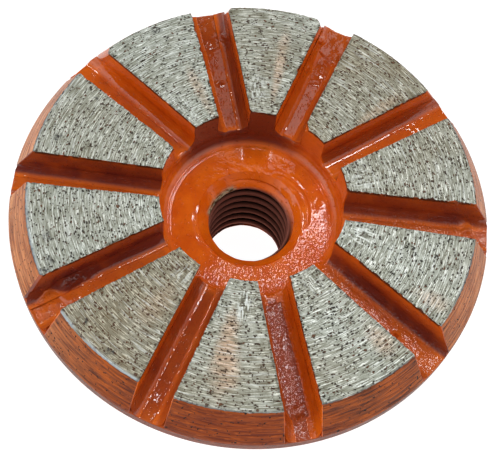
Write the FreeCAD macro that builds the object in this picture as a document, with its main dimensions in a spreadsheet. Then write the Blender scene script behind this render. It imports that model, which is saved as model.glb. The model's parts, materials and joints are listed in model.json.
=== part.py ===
import FreeCAD
import Part
import os
import re

import Sketcher

# A threaded diamond grinding wheel for an angle grinder or a lapidary arbor.
# Millimetres. +Z points along the spindle axis towards the grinding face, and the origin is the
# centre of the hub's rear seat. A turned steel backing plate carries a ring of sintered diamond
# segments, each held by its own braze joint, and a threaded hub is welded into the plate's middle.

DIMENSIONS = (
    ("wheel_diameter", 80.0, "over the rim"),
    ("overall_height", 28.0, "hub seat to grinding face"),
    ("groove_depth", 6.1, "grinding face to the top of the backing plate"),
    ("bevel_width", 3.2, "radial width of the bevel round the grinding face"),
    ("bevel_height", 5.75, "height of the same bevel"),
    ("rim_thickness", 2.65, "backing plate at its rim"),
    ("recess_diameter", 30.8, "centre recess, through segments and plate"),
    ("recess_depth", 9.2, "grinding face to the ledge in the recess"),
    ("spigot_diameter", 28.8, "hub spigot inside the plate"),
    ("spigot_depth", 9.0, "grinding face to the top of the spigot"),
    ("shoulder_height", 15.0, "hub seat to the flat back of the plate"),
    ("back_flat_diameter", 42.0, "flat ring on the back of the plate"),
    ("hub_diameter", 32.0, "round part of the hub"),
    ("hub_edge_chamfer", 1.0, "outer edge of the hub seat"),
    ("wrench_size", 27.0, "across the two wrench flats"),
    ("wrench_height", 9.0, "length of the flats, from the hub seat"),
    ("bore_diameter", 13.5, "minor diameter of the 5/8-11 UNC thread"),
    ("mouth_diameter", 17.9, "countersink at the front of the thread"),
    ("exit_chamfer", 1.4, "45 degree chamfer at the back of the thread"),
    ("weld_leg", 2.5, "fillet weld between hub and plate"),
    ("segment_count", 10, "segments round the wheel"),
    ("groove_inner_width", 5.2, "between segments at the recess"),
    ("groove_outer_width", 6.2, "between segments at the rim"),
    ("braze_gap", 0.15, "braze under a segment"),
    ("braze_leg", 1.9, "braze fillet along the foot of a segment"),
    ("braze_lip", 0.1, "thickness of the fillet at its two edges"),
)

# The segments are set by hand before brazing, so each sits a little off its even place, in degrees.
# The first one is centred on +Y, and they run clockwise seen from the grinding face.
SEAT_ERRORS = (-0.4, 0.0, 0.0, -0.3, -0.9, -0.4, 0.2, -0.1, 0.6, 0.4)

SHEET = "Dimensions"
OVERSIZE = 3.0  # how far a cutting shape runs past the material
STEP_FOLDER = "parts"

# Places that several sub-parts share, as formulas on the sheet.
WHEEL_RADIUS = "wheel_diameter / 2"
RECESS_RADIUS = "recess_diameter / 2"
SPIGOT_RADIUS = "spigot_diameter / 2"
HUB_RADIUS = "hub_diameter / 2"
PLATE_TOP = "overall_height - groove_depth"
PITCH = "360 / segment_count"

doc = FreeCAD.newDocument("grinding_wheel")
sheet = doc.addObject("Spreadsheet::Sheet", SHEET)


def fill_sheet():
    """Write each driving dimension as a row of name, value and meaning, with the name as alias."""
    rows = list(DIMENSIONS)
    for number, error in enumerate(SEAT_ERRORS, start=1):
        rows.append((f"seat_error_{number:02d}", error, "degrees off the even place"))
    for row, (name, value, meaning) in enumerate(rows, start=1):
        sheet.set(f"A{row}", name)
        sheet.set(f"B{row}", str(value))
        sheet.set(f"C{row}", meaning)
        sheet.setAlias(f"B{row}", name)
    doc.recompute()


def linked(formula):
    """A formula on sheet names, rewritten so that another object's expression can use it."""
    names = [name for name in re.findall(r"[a-z]\w*", formula) if sheet.getCellFromAlias(name)]
    for name in sorted(set(names)):
        formula = re.sub(rf"\b{name}\b", f"{SHEET}.{name}", formula)
    return formula


def value(formula):
    """The number that a formula gives with the sheet as it stands."""
    result = sheet.evalExpression(formula)
    return float(getattr(result, "Value", result))


def new_body(label):
    body = doc.addObject("PartDesign::Body", label)
    body.Label = label
    return body


def origin_plane(body, role):
    return next(plane for plane in body.Origin.OriginFeatures if plane.Role == role)


def new_sketch(body, name, role, offset="0"):
    """An empty sketch on one of the body's own origin planes, lifted by the offset formula."""
    sketch = body.newObject("Sketcher::SketchObject", name)
    sketch.AttachmentSupport = [(origin_plane(body, role), "")]
    sketch.MapMode = "FlatFace"
    if offset != "0":
        sketch.AttachmentOffset = FreeCAD.Placement(
            FreeCAD.Vector(0, 0, value(offset)), FreeCAD.Rotation()
        )
        sketch.setExpression("AttachmentOffset.Base.z", linked(offset))
    return sketch


def pin_vertex(sketch, edge, corner, formulas):
    """Fix the start of an edge at the place that its two formulas give."""
    horizontal_axis, vertical_axis, start = -1, -2, 1
    kinds = (("DistanceX", vertical_axis), ("DistanceY", horizontal_axis))
    for (kind, axis), formula, place in zip(kinds, formulas, corner):
        if abs(place) < 1e-9:
            sketch.addConstraint(Sketcher.Constraint("PointOnObject", edge, start, axis))
            continue
        rule = sketch.addConstraint(
            Sketcher.Constraint(kind, horizontal_axis, start, edge, start, place)
        )
        sketch.setExpression(f"Constraints[{rule}]", linked(formula))


def add_outline(sketch, corners):
    """Draw a closed outline of straight edges whose corners are pairs of formulas."""
    places = [(value(across), value(up)) for across, up in corners]
    first = sketch.GeometryCount
    for here, there in zip(places, places[1:] + places[:1]):
        sketch.addGeometry(
            Part.LineSegment(FreeCAD.Vector(*here, 0), FreeCAD.Vector(*there, 0)), False
        )
    for index, (corner, formulas) in enumerate(zip(places, corners)):
        following = first + (index + 1) % len(places)
        sketch.addConstraint(Sketcher.Constraint("Coincident", first + index, 2, following, 1))
        pin_vertex(sketch, first + index, corner, formulas)


def turned(body, name, corners, angle="360"):
    """Revolve a radius and height outline round the Z axis, evenly on both sides of the XZ plane."""
    sketch = new_sketch(body, f"{name}_profile", "XZ_Plane")
    add_outline(sketch, corners)
    turn = body.newObject("PartDesign::Revolution", name)
    turn.Profile = sketch
    turn.ReferenceAxis = (sketch, ["V_Axis"])
    turn.Midplane = True
    turn.Angle = value(angle)
    turn.setExpression("Angle", linked(angle))
    doc.recompute()
    return turn


def pocketed(body, name, outlines, base="0", depth=None):
    """Cut straight outlines out of the body: upwards from the base by depth, or right through."""
    before = body.Shape.Volume
    sketch = new_sketch(body, f"{name}_outline", "XY_Plane", base)
    for corners in outlines:
        add_outline(sketch, corners)
    pocket = body.newObject("PartDesign::Pocket", name)
    pocket.Profile = sketch
    if depth is None:
        pocket.Type = "ThroughAll"
        pocket.Midplane = True
    else:
        pocket.Reversed = True
        pocket.Length = value(depth)
        pocket.setExpression("Length", linked(depth))
    doc.recompute()
    if not body.Shape.Volume < before - 1e-6:
        raise RuntimeError(f"{name} removed nothing")
    return pocket


def edge_at(shape, radius, height):
    """The name of the round edge with this radius at this height."""
    for number, edge in enumerate(shape.Edges, start=1):
        curve = edge.Curve
        if isinstance(curve, Part.Circle) and abs(curve.Radius - radius) < 1e-3:
            if abs(curve.Center.z - height) < 1e-3:
                return f"Edge{number}"
    raise RuntimeError(f"no round edge of radius {radius} at height {height}")


def bevelled(body, name, radius, height, size):
    """Chamfer one round edge of the body at 45 degrees."""
    last = body.Tip
    chamfer = body.newObject("PartDesign::Chamfer", name)
    chamfer.Base = (last, [edge_at(last.Shape, value(radius), value(height))])
    chamfer.Size = value(size)
    chamfer.setExpression("Size", linked(size))
    doc.recompute()
    return chamfer


def make_backing_plate():
    """Turned steel disc: flat under the segments, coned at the back, bored for recess and hub."""
    plate_top = PLATE_TOP
    ledge = "overall_height - recess_depth"
    turned(
        new_body("backing_plate"),
        "disc",
        (
            (SPIGOT_RADIUS, "shoulder_height"),
            ("back_flat_diameter / 2", "shoulder_height"),
            (WHEEL_RADIUS, "overall_height - groove_depth - rim_thickness"),
            (WHEEL_RADIUS, plate_top),
            (RECESS_RADIUS, plate_top),
            (RECESS_RADIUS, ledge),
            (SPIGOT_RADIUS, ledge),
        ),
    )


def make_threaded_hub():
    """Steel boss with a spigot that fills the plate's bore, tapped through for the spindle.

    The thread is held as a plain bore of its minor diameter.
    """
    body = new_body("threaded_hub")
    spigot_top = "overall_height - spigot_depth"
    turned(
        body,
        "boss",
        (
            ("0", "0"),
            (HUB_RADIUS, "0"),
            (HUB_RADIUS, "shoulder_height"),
            (SPIGOT_RADIUS, "shoulder_height"),
            (SPIGOT_RADIUS, spigot_top),
            ("0", spigot_top),
        ),
    )
    bevelled(body, "seat_edge", HUB_RADIUS, "0", "hub_edge_chamfer")

    centre = new_sketch(body, "thread_centre", "XY_Plane", spigot_top)
    centre.addGeometry(Part.Circle(FreeCAD.Vector(), FreeCAD.Vector(0, 0, 1), 1), False)
    centre.addConstraint(Sketcher.Constraint("Coincident", 0, 3, -1, 1))
    centre.addConstraint(Sketcher.Constraint("Radius", 0, value("bore_diameter / 2")))
    centre.setExpression("Constraints[1]", linked("bore_diameter / 2"))
    doc.recompute()
    hole = body.newObject("PartDesign::Hole", "thread_bore")
    hole.Profile = centre
    doc.recompute()
    hole.DepthType = "ThroughAll"
    hole.ThreadType = "None"
    hole.HoleCutType = "Countersink"
    hole.HoleCutCountersinkAngle = 90
    for prop, formula in (("Diameter", "bore_diameter"), ("HoleCutDiameter", "mouth_diameter")):
        setattr(hole, prop, value(formula))
        hole.setExpression(prop, linked(formula))
    doc.recompute()
    bevelled(body, "thread_exit", "bore_diameter / 2", "0", "exit_chamfer")

    flat, reach = "wrench_size / 2", f"{HUB_RADIUS} + {OVERSIZE}"
    sides = []
    for sign in ("", "-"):
        near, far = f"{sign}({flat})", f"{sign}({reach})"
        sides.append(((f"-({reach})", near), (reach, near), (reach, far), (f"-({reach})", far)))
    pocketed(body, "wrench_flats", sides, depth="wrench_height")


def make_hub_weld_ring():
    """Fillet weld all round the corner between the hub and the back of the plate."""
    turned(
        new_body("hub_weld_ring"),
        "bead",
        (
            (HUB_RADIUS, "shoulder_height - weld_leg"),
            (f"{HUB_RADIUS} + weld_leg", "shoulder_height"),
            (HUB_RADIUS, "shoulder_height"),
        ),
    )


def wall_corner(along, inset, side):
    """A point on or beside a segment's wall, as formulas, with the segment centred on +X.

    The neighbouring groove runs half a pitch away. along is the distance from the axis along that
    groove, and the point lies half a groove's width from its middle, less inset. side is 1 or -1.
    """
    spread = "(groove_outer_width - groove_inner_width) / 2"
    run = f"(({along}) - {RECESS_RADIUS}) / ({WHEEL_RADIUS} - {RECESS_RADIUS})"
    width = f"(groove_inner_width / 2 + {spread} * {run} - ({inset}))"
    half = "(180 / segment_count)"
    across = f"({along}) * cos({half}) + {width} * sin({half})"
    up = f"(({along}) * sin({half}) - {width} * cos({half}))"
    return across, up if side > 0 else f"-{up}"


def groove_outlines(inset="0"):
    """The two half grooves beside a segment, to be cut from a full sector."""
    near, far = f"{RECESS_RADIUS} - 2 * {OVERSIZE}", f"{WHEEL_RADIUS} + {OVERSIZE}"
    outlines = []
    for side in (1, -1):
        inner = wall_corner(near, inset, side)
        outer = wall_corner(far, inset, side)
        beyond = f"{'' if side > 0 else '-'}({WHEEL_RADIUS})"
        outlines.append((inner, outer, (outer[0], beyond), (inner[0], beyond)))
    return outlines


def seat_outline():
    """The space between a segment's own two walls."""
    near, far = f"{RECESS_RADIUS} - 2 * {OVERSIZE}", f"{WHEEL_RADIUS} + {OVERSIZE}"
    corners = ((near, -1), (far, -1), (far, 1), (near, 1))
    return [[wall_corner(along, "0", side) for along, side in corners]]


def set_in_ring(body, number):
    """Turn a piece from +X to its place in the ring, with its seat error."""
    even = f"90 - {PITCH} * {number - 1}"
    formula = f"{even} + seat_error_{number:02d}"
    axis = FreeCAD.Vector(0, 0, 1)
    body.Placement = FreeCAD.Placement(FreeCAD.Vector(), FreeCAD.Rotation(axis, 1))
    body.setExpression("Placement.Rotation.Angle", linked(formula))


def make_segment(number):
    """Sintered diamond sector with straight groove walls and a bevelled outer edge."""
    body = new_body(f"segment_{number:02d}")
    foot = f"{PLATE_TOP} + braze_gap"
    turned(
        body,
        f"sector_{number:02d}",
        (
            (RECESS_RADIUS, foot),
            (WHEEL_RADIUS, foot),
            (WHEEL_RADIUS, "overall_height - bevel_height"),
            (f"{WHEEL_RADIUS} - bevel_width", "overall_height"),
            (RECESS_RADIUS, "overall_height"),
        ),
        PITCH,
    )
    pocketed(body, f"walls_{number:02d}", groove_outlines())
    set_in_ring(body, number)


def hollow_fillet(body, name, side):
    """Cut the concave face of a braze fillet with a cylinder laid along the segment's wall."""
    radius = "braze_leg - braze_lip"
    start, end = "0", f"{WHEEL_RADIUS} + {OVERSIZE}"
    ends = [[value(part) for part in wall_corner(along, "braze_leg", side)] for along in (start, end)]
    height = value(f"{PLATE_TOP} + braze_leg")
    first, last = (FreeCAD.Vector(*place, height) for place in ends)
    before = body.Shape.Volume
    cutter = body.newObject("PartDesign::SubtractiveCylinder", name)
    cutter.AttachmentSupport = [(origin_plane(body, "XY_Plane"), "")]
    cutter.MapMode = "FlatFace"
    cutter.AttachmentOffset = FreeCAD.Placement(
        first, FreeCAD.Rotation(FreeCAD.Vector(0, 0, 1), last - first)
    )
    cutter.Radius = value(radius)
    cutter.setExpression("Radius", linked(radius))
    cutter.Height = (last - first).Length
    doc.recompute()
    if not body.Shape.Volume < before - 1e-6:
        raise RuntimeError(f"{name} removed nothing")


def make_braze_joint(number):
    """Braze layer under a segment, squeezed out into a concave fillet along both its walls."""
    body = new_body(f"braze_joint_{number:02d}")
    top = f"{PLATE_TOP} + braze_leg"
    turned(
        body,
        f"layer_{number:02d}",
        (
            (RECESS_RADIUS, PLATE_TOP),
            (WHEEL_RADIUS, PLATE_TOP),
            (WHEEL_RADIUS, top),
            (RECESS_RADIUS, top),
        ),
        PITCH,
    )
    pocketed(body, f"clear_floor_{number:02d}", groove_outlines("braze_leg"))
    seat_base = f"{PLATE_TOP} + braze_gap"
    pocketed(body, f"seat_{number:02d}", seat_outline(), seat_base, "braze_leg")
    for side, word in ((1, "left"), (-1, "right")):
        hollow_fillet(body, f"{word}_fillet_{number:02d}", side)
    set_in_ring(body, number)


def check_model(bodies):
    """Stop before anything is written if an object failed or a sub-part isn't one valid solid."""
    doc.recompute()
    for item in doc.Objects:
        if {"Invalid", "Error"} & set(item.State):
            raise RuntimeError(f"{item.Name} failed: {item.State}")
    for body in bodies:
        shape = body.Shape
        if shape.isNull() or not shape.isValid() or len(shape.Solids) != 1:
            raise RuntimeError(f"{body.Label} is not one valid solid")


def export(bodies):
    os.makedirs(STEP_FOLDER, exist_ok=True)
    for body in bodies:
        body.Shape.exportStep(os.path.join(STEP_FOLDER, f"{body.Label}.step"))


def main():
    fill_sheet()
    make_backing_plate()
    make_threaded_hub()
    make_hub_weld_ring()
    for number in range(1, len(SEAT_ERRORS) + 1):
        make_segment(number)
        make_braze_joint(number)
    bodies = [item for item in doc.Objects if item.isDerivedFrom("PartDesign::Body")]
    check_model(bodies)
    export(bodies)
    for body in bodies:
        box = body.Shape.BoundBox
        size = " x ".join(f"{side:.2f}" for side in (box.XLength, box.YLength, box.ZLength))
        print(f"{body.Label}: {body.Shape.Volume:.1f} mm3, {size} mm")


main()
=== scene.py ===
"""The looks of a diamond grinding wheel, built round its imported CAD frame. Metres, +Z up."""

import json
import math
from itertools import product

import bpy
import numpy as np
from mathutils import Matrix, Vector


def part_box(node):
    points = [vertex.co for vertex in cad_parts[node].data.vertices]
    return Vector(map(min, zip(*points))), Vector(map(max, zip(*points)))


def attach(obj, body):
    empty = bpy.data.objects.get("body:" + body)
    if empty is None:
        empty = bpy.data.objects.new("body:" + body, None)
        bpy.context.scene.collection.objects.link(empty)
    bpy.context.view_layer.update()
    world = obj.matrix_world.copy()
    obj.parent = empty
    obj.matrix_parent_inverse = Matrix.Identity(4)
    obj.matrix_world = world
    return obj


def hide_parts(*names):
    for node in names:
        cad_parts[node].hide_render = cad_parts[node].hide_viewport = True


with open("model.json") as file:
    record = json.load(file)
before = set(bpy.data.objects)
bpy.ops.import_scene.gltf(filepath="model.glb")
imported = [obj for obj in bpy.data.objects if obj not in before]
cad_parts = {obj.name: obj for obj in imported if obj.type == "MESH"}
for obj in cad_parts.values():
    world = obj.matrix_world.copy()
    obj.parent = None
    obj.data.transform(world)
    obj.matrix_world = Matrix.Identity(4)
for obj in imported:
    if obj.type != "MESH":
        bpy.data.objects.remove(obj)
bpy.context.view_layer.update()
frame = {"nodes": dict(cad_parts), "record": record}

MM = 0.001
SEGMENT_COUNT = 10
TURN = 2 * math.pi
PITCH = TURN / SEGMENT_COUNT

# Places that come from the frame, in millimetres.
PLATE_LOW, PLATE_HIGH = (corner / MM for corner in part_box("backing_plate"))
_, HUB_HIGH = (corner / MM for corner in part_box("threaded_hub"))
_, WELD_HIGH = (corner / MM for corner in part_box("hub_weld_ring"))
SEGMENT_LOW, SEGMENT_HIGH = (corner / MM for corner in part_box("segment_01"))
BRAZE_LOW, BRAZE_HIGH = (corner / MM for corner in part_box("braze_joint_01"))
THREAD = next(m for m in frame["record"]["mounts"] if m["name"] == "spindle_thread")
WHEEL_R = PLATE_HIGH.x
PLATE_TOP = PLATE_HIGH.z
FACE = SEGMENT_HIGH.z
HUB_TOP = HUB_HIGH.z
HUB_R = HUB_HIGH.x
SHOULDER = PLATE_LOW.z
WELD_R = WELD_HIGH.x
FILLET = BRAZE_HIGH.z - BRAZE_LOW.z
BORE_R = THREAD["dims"]["r_mm"]
THREAD_LOW = THREAD["pos_m"][2] / MM
THREAD_HIGH = THREAD_LOW + THREAD["dims"]["length_mm"]

# Further sizes of the same model, in millimetres.
BEVEL_W, BEVEL_H = 3.2, 5.75
RIM_T = 2.65
RECESS_R, SPIGOT_R, LEDGE = 15.4, 14.4, FACE - 9.2
BACK_FLAT_R = 21.0
GROOVE_IN, GROOVE_OUT = 5.2, 6.2
THREAD_PITCH, THREAD_DEPTH, FLANK_DEG = 2.309, 1.19, 30
FLAT_HALF, FLAT_HEIGHT = 13.5, 9.0
HUB_CHAMFER = 1.0
RIM_ROUND = 0.12
PAINT_SINK = 0.12
COVE_R = 1.8
BEAD_R, BEAD_HEIGHT = 13.7, 0.07
SHARP_DEG = 48

# Camera: where it stands and what it looks at, in millimetres, its roll in degrees and its lens.
CAMERA_AT = (-4.61, -85.75, 192.78)
CAMERA_TARGET = (-0.02, -6.46, 28.0)
CAMERA_ROLL = 10.07
CAMERA_LENS = 82.22


# --- noise and small number tools


def lattice(x, y, z, seed):
    """A repeatable number from -1 to 1 for each whole-number place."""
    n = (x * 73856093) ^ (y * 19349663) ^ (z * 83492791) ^ (seed * 26544357)
    n = ((n ^ (n >> 13)) * 1274126177) & 0x7FFFFFFF
    n = ((n ^ (n >> 15)) * 668265263) & 0x7FFFFFFF
    return ((n >> 8) & 0xFFFF) / 32767.5 - 1


def noise(points, size, seed=0):
    """Smooth noise from -1 to 1 at an array of points, with features of about this size.

    size is one number, or one for each axis.
    """
    p = np.asarray(points, float) / size + 1000.0
    cell = np.floor(p).astype(np.int64)
    f = p - cell
    f = f * f * (3 - 2 * f)
    total = 0.0
    for corner in product((0, 1), repeat=3):
        weight = np.prod(np.where(corner, f, 1 - f), -1)
        total = total + weight * lattice(*np.moveaxis(cell + corner, -1, 0), seed)
    return total


def rough(points, size, seed=0, octaves=3):
    """Several sizes of noise added up, each half as large and half as strong as the last."""
    total = sum(noise(points, size / 2**k, seed + k) / 2**k for k in range(octaves))
    return total / 1.6


def smooth(low, high, x):
    """0 below low, 1 above high, and a smooth rise between."""
    f = np.clip((x - low) / (high - low), 0, 1)
    return f * f * (3 - 2 * f)


def steps(count):
    """Even steps from 0 to 1."""
    return np.linspace(0, 1, count)


def bump_at(x, middle, width):
    """A smooth bump of height 1 around the middle."""
    return np.exp(-(((x - middle) / width) ** 2))


def polar(r, angle, z):
    """Points from arrays of radius, angle in radians and height."""
    r, angle, z = np.broadcast_arrays(r, angle, z)
    return np.stack((r * np.cos(angle), r * np.sin(angle), z), -1)


def angle_gap(a, b):
    """The signed gap between two angles in radians, from -pi to pi."""
    return (a - b + math.pi) % TURN - math.pi


def spread(points):
    """Each point's distance from the wheel's axis."""
    return np.hypot(points[..., 0], points[..., 1])


def turned(points, middle):
    """Each point's angle round the wheel's axis, in radians from a middle angle."""
    return angle_gap(np.arctan2(points[..., 1], points[..., 0]), middle)


def direction(azimuth, elevation):
    """A unit direction from degrees of azimuth, from +X towards +Y, and of elevation."""
    a, e = math.radians(azimuth), math.radians(elevation)
    return Vector((math.cos(a) * math.cos(e), math.sin(a) * math.cos(e), math.sin(e)))


# --- mesh tools


def grid_faces(rows, columns, closed=False):
    """Quads over a grid of points, row by row; closed joins the last column to the first."""
    i = np.arange(rows - 1)[:, None]
    j = np.arange(columns if closed else columns - 1)[None, :]
    k = (j + 1) % columns
    corners = (i * columns + j, i * columns + k, (i + 1) * columns + k, (i + 1) * columns + j)
    return np.stack(np.broadcast_arrays(*corners), -1).reshape(-1, 4).tolist()


def ring_faces(rows, columns):
    """Quads over a grid of points that closes on itself both ways."""
    count = rows * columns
    return [[c % count for c in face] for face in grid_faces(rows + 1, columns, closed=True)]


def circle(columns):
    """Angles once round the axis in even steps, as one row."""
    return np.linspace(0, TURN, columns, endpoint=False)[None, :]


def new_object(name, data):
    """A new object in the scene."""
    thing = bpy.data.objects.new(name, data)
    bpy.context.scene.collection.objects.link(thing)
    return thing


def make_piece(name, node, slot, points, faces, materials, indices=None, **values):
    """A mesh object in place of a CAD node. points are in millimetres.

    indices gives each face's material, and the further values are attributes of the points.
    """
    mesh = bpy.data.meshes.new(name)
    mesh.from_pydata((np.asarray(points).reshape(-1, 3) * MM).tolist(), [], faces)
    for material in materials:
        mesh.materials.append(material)
    if indices is not None:
        mesh.polygons.foreach_set("material_index", np.asarray(indices, np.int32))
    for key, numbers in values.items():
        attribute = mesh.attributes.new(key, "FLOAT", "POINT")
        attribute.data.foreach_set("value", np.asarray(numbers, np.float32).ravel())
    mesh.validate()
    mesh.shade_smooth()
    mesh.set_sharp_from_angle(angle=math.radians(SHARP_DEG))
    piece = new_object(name, mesh)
    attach(piece, "root")
    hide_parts(node)


# --- material tools


class Nodes:
    """Short ways to add shader nodes to a material or a world."""

    def __init__(self, owner):
        owner.use_nodes = True
        self.owner = owner
        self.tree = owner.node_tree
        self.coordinates = self.add("TexCoord")

    def link(self, source, target):
        if isinstance(source, bpy.types.NodeSocket):
            self.tree.links.new(source, target)
        else:
            target.default_value = source

    def add(self, kind, inputs=None, **settings):
        """A new node with these settings, and its inputs linked or set; returns its outputs."""
        node = self.tree.nodes.new("ShaderNode" + kind)
        for key, value in settings.items():
            setattr(node, key, value)
        for key, value in (inputs or {}).items():
            self.link(value, node.inputs[key])
        return node.outputs

    def scaled(self, vector, factors):
        return self.add("VectorMath", {0: vector, 1: factors}, operation="MULTIPLY")["Vector"]

    def math(self, operation, a, b=0.0):
        return self.add("Math", {0: a, 1: b}, operation=operation)["Value"]

    def times(self, a, b):
        return self.math("MULTIPLY", a, b)

    def split(self, vector):
        return self.add("SeparateXYZ", {0: vector})

    def around(self, x, y):
        """Distance from the Z axis and angle round it."""
        square = self.math("ADD", self.times(x, x), self.times(y, y))
        return self.math("SQRT", square), self.math("ARCTAN2", y, x)

    def join(self, x, y, z):
        return self.add("CombineXYZ", {0: x, 1: y, 2: z})["Vector"]

    def noise(self, scale, detail=3.0, vector=None, roughness=0.55, distortion=0.0):
        """Noise from 0 to 1; scale is in features per millimetre."""
        values = {"Vector": vector or self.place, "Scale": scale, "Detail": detail}
        return self.add("TexNoise", {**values, "Roughness": roughness, "Distortion": distortion})["Fac"]

    def streaks(self, along, long, across, fine, seed, detail, roughness=0.55, distortion=0.0):
        """Noise over two lengths, each with its own number of features per millimetre."""
        place = self.join(self.times(along, long), self.times(across, fine), seed)
        return self.noise(1.0, detail, place, roughness, distortion)

    def ramp(self, value, low, high, end=1.0, start=0.0):
        """Maps low..high to start..end, held at the ends."""
        values = {"Value": value, "From Min": low, "From Max": high, "To Min": start, "To Max": end}
        return self.add("MapRange", values)["Result"]

    def mix(self, factor, a, b):
        """Colour a where the factor is 0 and b where it is 1."""
        a, b = ((*c, 1.0) if isinstance(c, tuple) else c for c in (a, b))
        return self.add("Mix", {0: factor, 6: a, 7: b}, data_type="RGBA")[2]

    def layers(self, colour, *coats):
        """A colour with others laid over it in turn, each given as an amount and a colour."""
        for amount, tint in coats:
            colour = self.mix(amount, colour, tint)
        return colour

    def attribute(self, name):
        return self.add("Attribute", attribute_name=name)["Fac"]

    def bump(self, height, distance, normal=None):
        """A normal from a height; distance is the height's full range in millimetres."""
        values = {"Strength": 1.0, "Distance": distance * MM, "Height": height}
        if normal:
            values["Normal"] = normal
        return self.add("Bump", values)["Normal"]

    def finish(self, **sockets):
        shader = self.tree.nodes["Principled BSDF"]
        for key, value in sockets.items():
            name = key.replace("_", " ").title().replace("Ior", "IOR")
            self.link(value, shader.inputs[name])
        return self.owner


def new_material(name):
    """Nodes for a new material, with the place on the piece in millimetres."""
    n = Nodes(bpy.data.materials.new(name))
    n.place = n.scaled(n.coordinates["Object"], (1 / MM,) * 3)
    return n


# --- materials

# The last colour is a dark red for thick paint and for painted shade on walls, in the recess and on groove
# floors.
PAINT_DARK, PAINT_LIGHT, PAINT_POOLED_AND_SHADE = (0.73, 0.124, 0.006), (0.87, 0.172, 0.008), (0.185, 0.032, 0.020)
HUB_DARK, HUB_LIGHT = (0.74, 0.112, 0.004), (0.88, 0.165, 0.006)
# Thread crests, and roots of dark bare steel with painted shade in the grooves.
THREAD_CREST, THREAD_ROOT_STEEL_AND_SHADE = (0.29, 0.105, 0.075), (0.012, 0.006, 0.005)
# A middling radius of the ground faces, which turns an angle into a length round the wheel.
MATRIX_R = 26.0


def wet_paint(n, dark, light):
    """The enamel's patchy colour, darker where it runs thick and where shade is painted, and its hammered,
    pimpled surface.
    """
    patches = n.ramp(n.noise(0.35, 3.0), 0.35, 0.68)
    # Darker red where the paint is thick and where shade is painted.
    colour = n.layers(dark, (patches, light), (n.attribute("pooled"), PAINT_POOLED_AND_SHADE))
    skin = n.noise(1.75, 1.0, roughness=0.4, distortion=0.9)
    surface = n.bump(n.times(skin, n.attribute("hammered")), 0.15)
    surface = n.bump(n.noise(0.7, 2.0), 0.03, surface)
    return colour, n.bump(n.ramp(n.noise(2.4, 1.0), 0.64, 0.72), 0.07, surface)


def enamel():
    """Thick gloss orange enamel, redder and darker where it runs thick and where shade is painted, hammered
    at the front right.
    """
    n = new_material("orange_enamel")
    colour, surface = wet_paint(n, PAINT_DARK, PAINT_LIGHT)
    specks = n.ramp(n.noise(2.6, 2.0), 0.70, 0.78, 0.35)
    # The walls darken along their top edge: partly the paint's ground edge, partly painted shadow of the
    # ragged face edge.
    edge = n.times(n.attribute("edge"), 0.9)
    return n.finish(
        base_color=n.layers(colour, (edge, (0.030, 0.014, 0.008)), (specks, (0.30, 0.035, 0.008))),
        roughness=0.32,
        specular_ior_level=0.0,
        coat_weight=1.0,
        coat_roughness=0.025,
        normal=surface,
        coat_normal=surface,
    )


def turned_rim():
    """Enamel rubbed thin round the bevel, with streaks and pits along the turning marks, a painted sheen at
    the left and right and painted shade at the front and along the bottom.
    """
    n = new_material("turned_rim_enamel")
    x, y, z = n.split(n.place)
    radius, angle = n.around(x, y)
    along, down = n.times(angle, WHEEL_R), n.math("SUBTRACT", z, radius)
    fine = n.streaks(along, 0.16, down, 1.5, 0.0, 4.0, 0.6)
    broad = n.streaks(along, 0.10, down, 0.55, 3.0, 3.0)
    flecks = n.ramp(n.streaks(along, 0.5, down, 3.0, 5.0, 2.0), 0.58, 0.66)
    pits = n.ramp(n.noise(1.9, 1.0), 0.66, 0.72)
    # Painted sheen: the bevel is paler towards its left and right sides.
    pale = n.math("MAXIMUM", n.ramp(x, -20.0, -40.0, 0.85), n.ramp(x, 28.0, 38.0, 0.6))
    # Painted shade: darker towards the rim's bottom edge.
    low = n.ramp(z, PLATE_TOP + 0.9, PLATE_TOP - 0.6)
    colour = n.layers(
        n.mix(pale, (0.105, 0.026, 0.012), (0.42, 0.13, 0.05)),
        (n.ramp(fine, 0.38, 0.62), n.mix(pale, (0.50, 0.105, 0.010), (0.86, 0.38, 0.16))),
        (n.ramp(broad, 0.52, 0.75, 0.6), (0.27, 0.085, 0.035)),
        (n.times(low, 0.75), (0.075, 0.030, 0.018)),
        # Painted shade: the front of the bevel darker red.
        (n.ramp(y, -33.0, -38.0, 0.45), (0.27, 0.035, 0.006)),
        (n.times(flecks, 0.6), (0.64, 0.14, 0.02)),
        (pits, (0.035, 0.016, 0.010)),
    )
    ridges = n.bump(n.math("SUBTRACT", fine, n.times(pits, 0.5)), 0.12)
    return n.finish(
        base_color=colour,
        roughness=n.ramp(fine, 0.3, 0.7, 0.34, 0.52),
        specular_ior_level=0.06,
        coat_weight=0.15,
        coat_roughness=0.2,
        normal=ridges,
        coat_normal=ridges,
    )


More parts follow.
